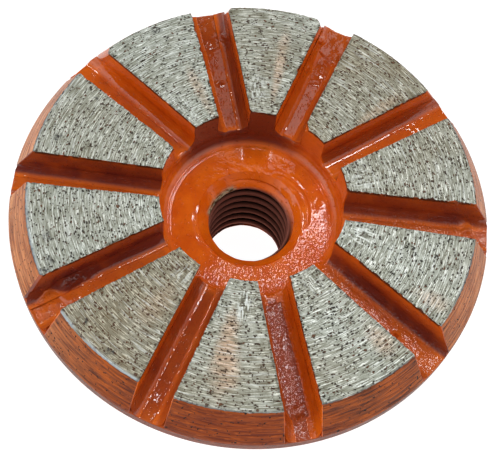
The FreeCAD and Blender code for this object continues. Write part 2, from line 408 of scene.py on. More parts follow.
def ground_matrix():
    """Sintered metal ground flat: scratches round the wheel, dark grit pits, scrapes, and painted warm
    reflections and glints.
    """
    n = new_material("ground_diamond_matrix")
    x, y, _ = n.split(n.place)
    radius, angle = n.around(x, y)
    along = n.times(angle, MATRIX_R)
    thin = n.streaks(along, 0.55, radius, 5.5, 0.0, 2.0, 0.6, 0.35)
    broad = n.streaks(along, 0.20, radius, 3.0, 7.0, 2.0, 0.6)
    cross = n.streaks(along, 1.8, radius, 0.45, 3.0, 1.0, 0.5, 0.8)
    grain = n.noise(4.0, 2.0, roughness=0.7)
    warm, scraped = n.attribute("warm"), n.attribute("scraped")
    warmth = n.times(warm, 0.8)
    # Painted reflection: bronze patches where the metal would mirror a warm light.
    bronze = n.times(n.attribute("bronze"), n.ramp(broad, 0.3, 0.6, 1.0, 0.35))
    shine = n.layers((0.93, 0.98, 0.92), (warmth, (0.62, 0.55, 0.37)), (bronze, (0.80, 0.56, 0.40)))
    furrow = n.mix(warm, (0.115, 0.108, 0.07), (0.17, 0.10, 0.035))
    rust = n.ramp(n.noise(0.8, 2.0, n.scaled(n.place, (1.0, 1.0, 0.0))), 0.50, 0.62)
    rust = n.math("MAXIMUM", rust, n.times(warm, 0.6))
    pit_colour = n.mix(n.times(rust, 0.8), (0.026, 0.022, 0.014), (0.17, 0.055, 0.014))
    smudge = n.times(n.attribute("stain"), n.ramp(n.noise(2.0, 3.0), 0.40, 0.58, 1.0, 0.15))
    colour = n.layers(
        (0.335, 0.355, 0.285),
        (n.ramp(n.noise(0.22, 3.0), 0.36, 0.64), (0.475, 0.51, 0.44)),
        (warmth, (0.24, 0.20, 0.12)),
        (bronze, (0.62, 0.40, 0.255)),
        (n.ramp(thin, 0.53, 0.63, 0.85), shine),
        (n.ramp(thin, 0.45, 0.35, 0.8), furrow),
        (n.ramp(broad, 0.57, 0.66, 0.55), (0.80, 0.84, 0.80)),
        (n.ramp(broad, 0.42, 0.34, 0.5), (0.20, 0.19, 0.13)),
        (n.ramp(grain, 0.58, 0.66, 0.55), (0.14, 0.125, 0.075)),
        (n.ramp(n.attribute("pit"), 0.25, 0.5, 0.97), pit_colour),
        # Scrapes across the grinding marks: painted glints in the bright streaks, real dark scratches.
        (n.times(n.ramp(cross, 0.53, 0.57), scraped), (0.90, 0.95, 0.90)),
        (n.times(n.ramp(cross, 0.45, 0.41), scraped), (0.13, 0.125, 0.09)),
        (n.attribute("lip"), (0.60, 0.70, 0.74)),
        # A dark line at the face's edge: partly the paint's ground edge, partly painted shadow of the ragged
        # edge.
        (n.times(n.attribute("edge"), 0.6), (0.05, 0.04, 0.02)),
        (smudge, (0.045, 0.045, 0.042)),
        (n.attribute("oxide"), (0.045, 0.036, 0.055)),
    )
    return n.finish(
        base_color=colour,
        metallic=0.3,
        roughness=n.ramp(thin, 0.35, 0.65, 0.33, 0.55),
        normal=n.bump(n.math("ADD", n.times(thin, 0.9), n.times(grain, 0.3)), 0.06),
    )


def thread_and_paint():
    """Enamel on the hub, thinning to dark bare steel down the thread with painted shade in its roots, and
    rubbed at its mouth.
    """
    n = new_material("hub_enamel_and_thread")
    x, y, z = n.split(n.place)
    radius, angle = n.around(x, y)
    colour, surface = wet_paint(n, HUB_DARK, HUB_LIGHT)
    # Paler crests and near-black roots: bare steel, with painted shade in the roots.
    steel = n.mix(n.ramp(radius, BORE_R + 0.05, BORE_R + 0.5), THREAD_CREST, THREAD_ROOT_STEEL_AND_SHADE)
    inside = n.ramp(radius, BORE_R + 1.5, BORE_R + 1.3)
    inside = n.times(inside, n.ramp(z, THREAD_HIGH + 0.35, THREAD_HIGH - 0.15))
    inside = n.times(inside, n.ramp(z, THREAD_LOW - 0.4, THREAD_LOW - 0.1))
    bare = n.times(n.attribute("bare"), n.ramp(n.noise(1.6, 3.0), 0.30, 0.44))
    scratches = n.noise(1.0, 2.0, n.join(n.times(angle, 5.0), 0.0, n.times(z, 4.0)))
    worn = n.mix(n.ramp(scratches, 0.42, 0.56), (0.06, 0.04, 0.02), (0.38, 0.33, 0.22))
    gloss = n.math("SUBTRACT", 1.0, n.math("MAXIMUM", inside, bare))
    return n.finish(
        base_color=n.layers(colour, (inside, steel), (bare, worn)),
        roughness=n.math("SUBTRACT", 0.7, n.times(gloss, 0.36)),
        specular_ior_level=0.0,
        coat_weight=gloss,
        coat_roughness=0.025,
        normal=surface,
        coat_normal=surface,
    )


# --- where the segments sit


def segment_angle(number):
    """The middle of a segment, in radians, from where its CAD node lies."""
    low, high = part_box(f"segment_{number:02d}")
    about = math.atan2(low.y + high.y, low.x + high.x)
    corners = np.array([v.co for v in frame["nodes"][f"segment_{number:02d}"].data.vertices])
    gaps = turned(corners, about)
    return about + (gaps.min() + gaps.max()) / 2


SEGMENT_ANGLES = [segment_angle(number) for number in range(1, SEGMENT_COUNT + 1)]
# Groove 1 lies anticlockwise of segment 1, and the others follow clockwise.
GROOVE_ANGLES = [
    SEGMENT_ANGLES[n] + angle_gap(SEGMENT_ANGLES[n - 1], SEGMENT_ANGLES[n]) / 2 for n in range(SEGMENT_COUNT)
]


def cove_height(r):
    """The height of the painted cove that joins the hub's face to the recess wall."""
    out = np.clip(r - (RECESS_R - COVE_R), 0, COVE_R)
    return HUB_TOP - PAINT_SINK + COVE_R - np.sqrt(COVE_R**2 - out**2)


def groove_half_width(run):
    """Half a groove's width at a distance from the axis along the groove."""
    share = (run - RECESS_R) / (WHEEL_R - RECESS_R)
    return (GROOVE_IN + (GROOVE_OUT - GROOVE_IN) * share) / 2


def half_angle(r):
    """Half the angle that a segment takes up at this radius."""
    width = GROOVE_IN / 2
    for _ in range(3):
        width = groove_half_width(np.sqrt(r * r - width * width))
    return PITCH / 2 - np.arcsin(width / r)


def rim_radius(z):
    """The wheel's outer radius at a height: the bevel above the foot of the segments."""
    return np.minimum(WHEEL_R, WHEEL_R - BEVEL_W * (z - (FACE - BEVEL_H)) / BEVEL_H)


def groove_place(points):
    """For each point: its nearest groove's number, and its place along and across that groove."""
    gaps = np.stack([turned(points, angle) for angle in GROOVE_ANGLES])
    nearest = np.argmin(np.abs(gaps), 0)
    gap = np.take_along_axis(gaps, nearest[None], 0)[0]
    return nearest + 1, spread(points) * np.cos(gap), spread(points) * np.sin(gap)


# How dark each of the ten groove floors is, partly thick paint and partly painted shade between the walls,
# and how hammered it is.
POOLED_AND_SHADED_GROOVES = np.array((0.5, 0.34, 0.12, 0.35, 0.2, 0.6, 0.45, 0.25, 0.3, 0.2))
HAMMERED_GROOVES = np.array((0, 0.2, 0.2, 1, 1, 1, 0.1, 0, 0, 0))
# The coarse end of one groove floor: x, y and radius in millimetres.
ROUGH_END = (-29.0, -21.2, 4.2)


def hammered_amount(points):
    """How hammered the paint is: strongest at the front right of the wheel."""
    x, y = points[..., 0], points[..., 1]
    towards = (0.45 * x - 0.89 * y) / 12.0
    amount = smooth(0.1, 1.0, towards + 0.35 * rough(points, 5.0, 31, 2))
    share = HAMMERED_GROOVES[groove_place(points)[0] - 1]
    amount = amount * np.where(spread(points) > RECESS_R + 0.4, share, 1.0)
    end = np.hypot(x - ROUGH_END[0], y - ROUGH_END[1]) / ROUGH_END[2]
    return np.clip(np.maximum(amount, 0.5 * smooth(1.2, 0.7, end)), 0, 1)


# --- the ten segments

# Sides are named from the wheel's axis: +1 is anticlockwise and -1 is clockwise.
# Outer corners that are cut away over the whole height: (segment, side) and size in millimetres.
CUT_CORNERS = {(10, 1): 1.15, (1, 1): 0.7, (1, -1): 1.3, (8, 1): 0.5, (7, -1): 0.7, (9, -1): 0.4}
PLAIN_CUT, LARGE_CUT = 0.15, 1.0
# Chips out of the face's inner corners: (segment, side), size and depth in millimetres.
INNER_CHIPS = {
    (2, 1): (1.2, 1.5), (1, 1): (0.5, 0.5), (6, -1): (0.4, 0.3),
    (3, -1): (0.5, 0.6), (9, -1): (0.4, 0.5),
}
# How ragged the edges of each side are; grinding crumbles the clockwise ones, and one the most.
RAGGED, RAGGED_WORST = {1: 0.4, -1: 1.0}, {(3, -1): 1.5}
# Dark stains near the edge: segment, radius, degrees from the segment's middle, size.
STAINS = (
    (7, 35.2, 3.5, 1), (7, 34.6, -7, 0.8), (8, 34.6, 9.5, 1), (8, 35.6, 12, 0.9),
    (8, 33.9, 3, 0.9), (9, 33.6, 7, 0.9), (9, 31.5, -9, 0.7), (10, 35.4, -2, 0.9),
)
# How worn and bright, and how oxidised and dark, the lip over the bevel is.
LIP_WORN = {6: 0.2, 7: 0.9, 8: 0.7, 9: 0.25}
LIP_OXIDE = {2: 0.3, 3: 0.7, 4: 0.85, 5: 0.9, 6: 0.5, 7: 0.4, 8: 0.7, 9: 0.5}
FACE_ROWS, FACE_COLUMNS = 230, 170
SKIRT_DEPTHS = (0.05, 0.13, 0.25, 0.45, 0.75, 1.15, 1.7, 2.4, 3.1, 3.8, 4.5, 5.2, 5.75, FACE - SEGMENT_LOW.z)
PITS_PER_MM2 = 3.3
FACE_SLOT, WALL_SLOT, BEVEL_SLOT = 0, 1, 2


def wall_bite(number, side, radius, depth):
    """How far a wall's edge is eaten away, in millimetres: ragged at the face and calmer below."""
    place = np.stack((radius + number * 50, 0 * radius + 7.0 * side, 0 * radius + depth * 0.6), -1)
    fine = np.abs(noise(place, 0.45, 5)) * 0.15 + np.abs(noise(place, 0.22, 6)) * 0.09
    chips = np.clip(noise(place, 1.3, 7) - 0.4, 0, 1) * 0.6
    ragged = RAGGED_WORST.get((number, side), RAGGED[side])
    bite = ragged * (fine + chips) * math.exp(-depth / 0.3) + noise(place, 5.0, 8) * 0.06
    cut = CUT_CORNERS.get((number, side), PLAIN_CUT)
    from_rim = rim_radius(FACE - depth) - radius
    bite = bite + np.clip(cut - from_rim, 0, cut) ** 1.5 / cut**0.5 * 0.8
    if (number, side) in INNER_CHIPS:
        size, deep = INNER_CHIPS[number, side]
        bite = bite + np.clip(size - (radius - RECESS_R), 0, size) * 0.8 * math.exp(-((depth / deep) ** 2))
    return bite


def outline(number, depth):
    """A segment's outline at a depth below its face: inner arc, left wall, outer arc, right wall.

    Each is an array of (radius, angle from the segment's middle). Walls run outwards, arcs run
    anticlockwise, and left is the anticlockwise side.
    """
    outer = float(rim_radius(FACE - depth))
    radius = RECESS_R + (outer - RECESS_R) * steps(FACE_ROWS)
    bites = {side: wall_bite(number, side, radius, depth) for side in (1, -1)}
    left, right = (np.stack((radius, s * (half_angle(radius) - bites[s] / radius)), -1) for s in (1, -1))
    fade = math.exp(-depth / 0.25)
    arcs = []
    for end, base in ((0, RECESS_R), (-1, outer)):
        angle = right[end, 1] + (left[end, 1] - right[end, 1]) * steps(FACE_COLUMNS)
        place = np.stack((angle * base + 90 * number, 0 * angle + 11.0 + end, 0 * angle), -1)
        wave = np.abs(noise(place, 0.5, 12)) * 0.09 * fade + np.abs(noise(place, 4.0, 13)) * 0.03
        arcs.append(np.stack((base + (wave * fade if end == 0 else -wave), angle), -1))
    for wall, edge in ((left, -1), (right, 0)):
        wall[0], wall[-1] = arcs[0][edge], arcs[1][edge]
    return arcs[0], left, arcs[1], right


def fill_face(edges):
    """Radius and angle over a grid inside an outline, following its four edges."""
    v = steps(FACE_ROWS)[:, None]
    u = steps(FACE_COLUMNS)
    grid = []
    for axis in (0, 1):
        near, left, far, right = (edge[:, axis] for edge in edges)
        sides = (1 - u) * right[:, None] + u * left[:, None]
        ends = (1 - v) * near + v * far
        corners = (1 - v) * ((1 - u) * near[0] + u * near[-1]) + v * ((1 - u) * far[0] + u * far[-1])
        grid.append(sides + ends - corners)
    return grid


def pit_map(radius, angle, seed):
    """How deep each point lies in a pit, from 0 to 1, for ragged pits strewn over the face."""
    random = np.random.default_rng(seed)
    inner, outer = radius.min(), radius.max()
    count = int((outer**2 - inner**2) * PITCH / 2 * 0.85 * PITS_PER_MM2)
    pit_r = np.sqrt(random.uniform(inner**2, outer**2, count))
    pit_a = random.uniform(-PITCH / 2, PITCH / 2, count)
    size = 0.055 + 0.09 * random.uniform(0, 1, count) ** 2.5
    stretch = random.uniform(0.7, 2.2, count)
    lean = random.uniform(-0.8, 0.8, count)
    warp = noise(polar(radius, angle, 0.0), 0.3, seed) * 0.06
    depth = np.zeros(radius.shape)
    for r, a, s, k, t in zip(pit_r, pit_a, size, stretch, lean):
        rows = np.abs(radius[:, 0] - r) < 4 * s + 0.3
        out = radius[rows] - r + warp[rows]
        along = (angle[rows] - a) * r + t * out
        reach = np.hypot(out / s, along / (s * k))
        depth[rows] = np.maximum(depth[rows], 1 - smooth(0.6, 1.4, reach))
    return depth


def perimeter(rows, columns):
    """Indices round the edge of a grid: inner arc, left wall, outer arc and right wall."""
    grid = np.arange(rows * columns).reshape(rows, columns)
    return np.concatenate((grid[0], grid[1:, -1], grid[-1, -2::-1], grid[-2:0:-1, 0]))


def stain_map(number, middle, points):
    """How stained each point is, from 0 to 1."""
    total = np.zeros(len(points))
    for which, r, offset, size in STAINS:
        if which == number:
            place = polar(r, middle + math.radians(offset), FACE)
            gap = spread(points - place) / size
            total = np.maximum(total, 1 - smooth(0.2, 1.1, gap + 0.7 * rough(points, 0.9, 81)))
    return total


# How much painted shade each side wall takes: (segment, side), then at the wall's top, at
# its middle and on the braze below it.
WALL_SHADE = {
    (1, 1): (0, 0.35, 0.75),
    (1, -1): (0, 0.05, 0.2),
    (2, -1): (0.15, 0.4, 0.65),
    (3, -1): (0.7, 0.72, 0.85),
    (4, -1): (0.2, 0.55, 0.95),
    (5, -1): (0, 0, 0.05),
    (7, 1): (0, 0.2, 0.65),
    (8, 1): (0.62, 0.95, 1),
    (9, 1): (0.78, 0.88, 0.95),
    (10, 1): (0, 0.05, 0.12),
}
PLAIN_SHADE = (0.1, 0.3, 0.5)
# The middle of the back of the recess, where the recess wall takes the most painted shade.
BACK = math.radians(106.0)


def wall_shade(number, middle, points):
    """How much painted shade each wall of a segment takes, from 0 to 1."""
    total = np.zeros(len(points))
    for side in (1, -1):
        top, waist, foot = WALL_SHADE.get((number, side), PLAIN_SHADE)
        shade = np.interp(FACE - points[:, 2], (0.0, 1.2, 3.2, 5.0), (top * 0.8, top, waist, foot))
        # The facet of a large cut corner takes painted shade as well.
        if CUT_CORNERS.get((number, side), PLAIN_CUT) > LARGE_CUT:
            outer = smooth(2.5, 1.5, rim_radius(points[:, 2]) - spread(points))
            shade = np.maximum(shade, 0.3 * outer)
        total = np.where(side * turned(points, middle) > 0, shade, total)
    total = np.clip(total * (1 + 0.35 * rough(points, 3.0, 87)), 0, 1)
    return np.where(spread(points) < RECESS_R + 0.2, recess_shade(points), total)


def recess_shade(points):
    """How much painted shade the recess wall takes, most at its back."""
    return 0.1 + 0.85 * smooth(52.0, 26.0, np.degrees(np.abs(turned(points, BACK))))


# Painted reflections, bronze patches on the ground faces: segment, radius, degrees from its middle,
# half length along the radius, half width in degrees, and strength.
BRONZE_REFLECTIONS = (
    (1, 25, -4, 8, 2.5, 0.7),
    (2, 27, -10, 7, 2.5, 0.45),
    (4, 33, -8.5, 4, 3, 0.5),
    (5, 31.5, 9, 4, 3.5, 0.6),
    (6, 28, -2.5, 8, 4.5, 0.95),
    (7, 24, 4, 5, 5, 0.3),
    (10, 22, -5, 6, 3, 0.5),
)
# Scrapes across the grinding marks, whose bright streaks are painted glints, listed like the bronze
# reflections.
SCRAPES_AND_GLINTS = (
    (1, 20, 5, 4.5, 5, 0.6),
    (3, 18.5, -2, 2.8, 7, 0.6),
    (4, 18.5, 3, 2.8, 7, 0.7),
    (5, 18, 2, 2.2, 5, 0.6),
    (6, 19.5, 1.5, 3.2, 4, 1),
    (7, 18.5, 5, 2.5, 6, 0.5),
    (10, 20, 6, 4.5, 4, 0.5),
)
# How much warmer and darker each segment's metal is than the palest one.
WARMTH = {1: 0.35, 2: 0.75, 3: 0.35, 4: 0.1, 5: 0.2, 6: 0.5, 7: 1.0, 8: 0.05, 9: 0.2, 10: 0}


def tint_map(number, middle, points, places):
    """How much each point is marked by the listed places, from 0 to 1."""
    total = np.zeros(len(points))
    angle = np.degrees(turned(points, middle))
    for which, r, offset, length, width, strength in places:
        if which == number:
            gap = np.hypot((spread(points) - r) / length, (angle - offset) / width)
            total = np.maximum(total, strength * smooth(1.2, 0.2, gap + 0.35 * rough(points, 2.5, 83)))
    return total


def make_segment(number, materials):
    """One sintered segment: ground face, ragged edges, turned bevel and painted walls."""
    middle = SEGMENT_ANGLES[number - 1]
    radius, angle = fill_face(outline(number, 0.0))
    pits = pit_map(radius, angle, 100 + number)
    top = polar(radius, angle + middle, FACE)
    furrows = noise(np.stack((radius * 4.0, angle * 13, radius * 0), -1), 1.0, 50 + number)
    dips = 0.01 + 0.012 * rough(top, 3.0, 41) + 0.015 * np.clip(furrows, 0, 1) + 0.09 * pits
    top[..., 2] -= np.clip(dips, 0, 0.2)

    faces = grid_faces(FACE_ROWS, FACE_COLUMNS)
    indices = [FACE_SLOT] * len(faces)
    ring = perimeter(FACE_ROWS, FACE_COLUMNS)
    total, first = len(ring), radius.size
    start, stop = FACE_COLUMNS + FACE_ROWS - 2, 2 * FACE_COLUMNS + FACE_ROWS - 3
    k = np.arange(total)
    on_bevel = (k >= start) & (k <= stop)
    skirt_slots = np.where((k >= start) & (k < stop), BEVEL_SLOT, WALL_SLOT).tolist()
    points, loops = [top.reshape(-1, 3)], [ring]
    for depth in SKIRT_DEPTHS:
        inner, left, outer, right = outline(number, depth)
        loop = np.concatenate((inner, left[1:], outer[-2::-1], right[-2:0:-1]))
        level = polar(loop[:, 0], loop[:, 1] + middle, FACE - depth)
        ripple = noise(level * (0.4, 0.4, 5.0), 1.0, 61) * 0.03 - 0.03
        level[:, :2] *= (1 + ripple * on_bevel * (depth < BEVEL_H) / loop[:, 0])[:, None]
        points.append(level)
        loops.append(first + k)
        first += total
    for above, below in zip(loops, loops[1:]):
        faces += np.stack((np.roll(above, -1), above, below, np.roll(below, -1)), -1).tolist()
        indices += skirt_slots
    points.append(polar(np.array([27.0]), middle, SEGMENT_LOW.z))
    faces += np.stack((np.roll(loops[-1], -1), loops[-1], 0 * k + first), -1).tolist()
    indices += [WALL_SLOT] * total
    points = np.concatenate(points)

    reach = spread(points)
    from_lip = WHEEL_R - BEVEL_W - reach
    on_face = np.arange(len(points)) < radius.size
    worn = smooth(-0.5, 0.1, noise(points, 3.5, 71))
    on_edge = ~on_face & (from_lip > 0.4)
    on_edge[ring] = True
    # Dark line along the face's edge, on the walls and dotted on the face: partly the paint's ground edge,
    # partly painted shadow.
    edge = on_edge * smooth(0.75, 0.3, FACE - points[:, 2]) * smooth(-0.8, 0.0, noise(points, 0.8, 73))
    from_wall = (half_angle(reach) - np.abs(turned(points, middle))) * reach
    dotted = smooth(0.6, 0.25, from_wall) * smooth(-0.1, 0.5, noise(points, 0.4, 74))
    make_piece(
        f"segment_{number:02d}_body", f"segment_{number:02d}", "diamond_matrix",
        points, faces, materials, indices,
        pit=np.concatenate((pits.ravel(), np.zeros(len(points) - pits.size))),
        pooled=wall_shade(number, middle, points),
        hammered=hammered_amount(points) * 0.3,
        lip=bump_at(from_lip, 0.18, 0.3) * on_face * LIP_WORN.get(number, 0) * worn,
        edge=np.maximum(edge, on_face * dotted),
        oxide=bump_at(from_lip, 0.08, 0.18) * on_face * LIP_OXIDE.get(number, 0) * (0.5 + 0.5 * worn),
        stain=stain_map(number, middle, points) * on_face,
        bronze=tint_map(number, middle, points, BRONZE_REFLECTIONS) * on_face,
        scraped=tint_map(number, middle, points, SCRAPES_AND_GLINTS) * on_face,
        warm=np.clip(WARMTH[number] + 0.35 * rough(points, 7.0, 85), 0, 1),
    )


# --- braze joints

# Lumps and hollows in the braze: segment, side, distance from the axis, length and height.
LUMPS = (
    (8, 1, 29.5, 0.9, 0.25), (8, 1, 31.6, 0.9, 0.9), (8, 1, 33, 1, 1.1),
    (8, 1, 36.3, 1.4, -0.75), (4, 1, 27, 3, 0.3), (4, 1, 36.4, 1.1, 0.5),
    (3, -1, 36.5, 1, -0.4), (1, 1, 34.6, 1, 0.5), (1, -1, 36.8, 1.3, 0.5),
    (1, -1, 30, 0.8, 0.3), (2, 1, 34.5, 0.9, 0.6), (6, 1, 37.2, 1.2, 0.4),
    (10, -1, 31.5, 1, 0.2),
)
FILLET_ROWS, FILLET_COLUMNS, UNDER_COLUMNS = 200, 18, 9
FOOT_STEP, END_GAP = 0.05, 0.02


def fillet_strip(number, side):
    """One painted fillet as grids of distance along and across its groove, and of height.

    Columns run from the groove's floor to the segment's wall.
    """
    t = steps(FILLET_ROWS)[:, None]
    turn = steps(FILLET_COLUMNS) * math.pi / 2
    station = RECESS_R + (WHEEL_R - RECESS_R) * t
    place = np.concatenate((station, station * 0 + number * 9.0 + side, station * 0), -1)
    leg = FILLET * (0.97 + 0.05 * noise(place, 6.0, 91) + 0.03 * noise(place, 1.8, 92))[:, None]
    out = leg - (leg - FOOT_STEP) * np.sin(turn)
    up = FOOT_STEP + (leg - FOOT_STEP) * (1 - np.cos(turn))
    spots = np.stack((station + 0 * out, out + number * 13.0 + side * 5.0, up), -1)
    relief = 0.02 * rough(spots, 1.6, 95)
    for which, where, at, length, height in LUMPS:
        if (which, where) == (number, side):
            knobbly = 1 + (0.9 if height > 0 else 0.2) * rough(spots, 0.7, 97)
            arch = np.sin(2 * np.clip(turn, 0.06, math.pi / 2 - 0.06))
            relief = relief + bump_at(station, at, length) * height * knobbly * arch
    out = np.maximum(out + relief * np.sin(turn) * 0.7, -0.25)
    z = PLATE_TOP + np.maximum(up + relief * np.cos(turn) * 0.7 + relief * 0.3, 0.01)
    begin = np.sqrt((RECESS_R - END_GAP) ** 2 - (GROOVE_IN / 2 - out) ** 2)
    end = np.sqrt((rim_radius(z) - END_GAP) ** 2 - (GROOVE_OUT / 2 - out) ** 2)
    along = begin + (end - begin) * t
    return along, groove_half_width(along) + 0.03 - out, z


def arc_between(start, stop, height):
    """Rows of points at one height, each along an arc round the wheel's axis from start to stop."""
    share = steps(UNDER_COLUMNS)
    begin, end = turned(start, 0.0)[:, None], turned(stop, 0.0)[:, None]
    inner, outer = spread(start)[:, None], spread(stop)[:, None]
    return polar(inner + (outer - inner) * share, begin + angle_gap(end, begin) * share, height)


def end_cap(columns):
    """The faces that close one end of a braze joint: a fillet's end on each side and a strip."""
    last, top = columns - 1, FILLET_COLUMNS
    left = top + UNDER_COLUMNS
    faces = [list(range(top + 1)) + [last]]
    faces += [[top + k, top + k + 1, last - k - 1, last - k] for k in range(UNDER_COLUMNS - 1)]
    faces.append(list(range(left - 1, left + FILLET_COLUMNS + 1)))
    return faces


def make_braze_joint(number, material):
    """The braze under one segment, with its painted fillets along both walls."""
    middle = SEGMENT_ANGLES[number - 1]
    strips = []
    for side in (1, -1):
        along, across, height = fillet_strip(number, side)
        axis = middle + side * PITCH / 2
        x = along * math.cos(axis) + side * across * math.sin(axis)
        y = along * math.sin(axis) - side * across * math.cos(axis)
        strips.append(np.stack((x, y, height), -1))
    left, right = strips
    top = arc_between(right[:, -1], left[:, -1], SEGMENT_LOW.z)
    bottom = arc_between(left[:, 0], right[:, 0], PLATE_TOP - 0.03)
    section = np.concatenate((right, top, left[:, ::-1], bottom), 1)
    rows, columns = section.shape[:2]
    cap = end_cap(columns)
    faces = grid_faces(rows, columns, closed=True) + [face[::-1] for face in cap]
    faces += [[(rows - 1) * columns + j for j in face] for face in cap]
    points = section.reshape(-1, 3)
    climb = (points[:, 2] - PLATE_TOP) / FILLET
    shade = wall_shade(number, middle, points)
    foot = 0.1 + (shade - 0.1) * smooth(0.02, 0.16, climb)
    make_piece(
        f"braze_joint_{number:02d}_fillets", f"braze_joint_{number:02d}", "painted_braze",
        points, faces, [material],
        pooled=np.where(spread(points) < RECESS_R + 0.1, shade, foot),
        hammered=hammered_amount(points) * smooth(0.5, 0.15, climb),
    )


# --- backing plate

DENSE_COLUMNS, SPARSE_COLUMNS = 31, 11
STRIP_HALF = 3.5
# What the groove floors show, groove by groove: kind, distance from the axis, distance across
# the groove, size and height, in millimetres.
FLOOR_MARKS = {
    1: (("pit", 25.2, 0.1, 0.38, -0.45), ("step", 32.6, 0.5, 0.2, -0.22), ("bump", 33.8, 0.4, 0.7, 0.4)),
    2: (("step", 33.6, -0.6, 0.15, 0.28), ("bump", 30.5, 0, 2, 0.12), ("step", 27.6, 0.3, 0.1, 0.06)),
    3: (("bump", 34, 0.5, 1.6, 0.06),),
    4: (("pit", 36.6, 0.2, 0.9, -0.5), ("bump", 34.4, 0.6, 0.8, 0.35), ("bump", 25, 0.4, 1.4, 0.12)),
    5: (("pit", 31.8, -0.5, 0.45, -0.6), ("bump", 31.8, -0.5, 0.85, 0.18), ("step", 29.5, 0, 0.5, 0.1)),
    6: (
        ("step", 17.2, 0.1, 0.12, 0.2),
        ("pit", 36.3, -0.3, 0.35, -0.4),
        ("pit", 36.1, 0.7, 0.3, -0.4),
        ("pit", 34.6, 0, 0.3, -0.25),
        ("step", 36.5, 0.2, 0.12, -0.15),
    ),
    7: (("bump", 35.8, -0.6, 0.35, 0.12), ("bump", 36.6, -0.4, 0.3, 0.1)),
    8: (
        ("step", 34.2, 0.8, 0.25, -0.3),
        ("bump", 33.2, 0.4, 0.8, 0.45),
        ("bump", 36.2, -0.3, 0.9, 0.35),
        ("bump", 38.2, 0.3, 0.8, 0.3),
    ),
    9: (("bump", 21.5, -0.4, 0.25, 0.12), ("bump", 28.5, -0.6, 0.3, 0.1), ("bump", 31, 0.2, 1.5, 0.05)),
    10: (("pit", 33.2, 0.4, 0.35, 0.25), ("bump", 30, 0.5, 0.4, 0.12)),
}


def plate_angles(radius):
    """The angle of every column for each row's radius: many columns in the grooves, few between."""
    across = np.linspace(-STRIP_HALF, STRIP_HALF, DENSE_COLUMNS)
    strip = np.arcsin(across / np.maximum(radius, RECESS_R)[:, None])
    share = steps(SPARSE_COLUMNS + 2)[1:-1]
    turns = sorted(angle % TURN for angle in GROOVE_ANGLES)
    blocks = []
    for here, there in zip(turns, turns[1:] + [turns[0] + TURN]):
        start, stop = here + strip[:, -1:], there + strip[:, :1]
        blocks += [here + strip, start + (stop - start) * share]
    return np.concatenate(blocks, 1)


def floor_relief(points):
    """How far the painted groove floors stand above or below the plate's flat top."""
    number, along, across = groove_place(points)
    height = 0.02 * rough(points, 2.4, 21) - 0.03 + 0.05 * rough(points, 0.8, 22) * hammered_amount(points)
    ragged = 0.35 * rough(points, 1.2, 29)
    knobbly = 1 + 0.7 * rough(points, 0.6, 33)
    for groove, marks in FLOOR_MARKS.items():
        for kind, at, side, size, amount in marks:
            gap = np.hypot(along - at, across - side) / size
            if kind == "step":
                mark = amount * smooth(at - size, at + size, along + ragged + side * 0.5 * across)
            elif kind == "pit":
                mark = amount * (1 - smooth(0.5, 1.25, gap)) + 0.1 * bump_at(gap, 1.35, 0.35)
            else:
                mark = amount * np.exp(-(gap**2)) * knobbly
            height = height + (number == groove) * mark
    return height


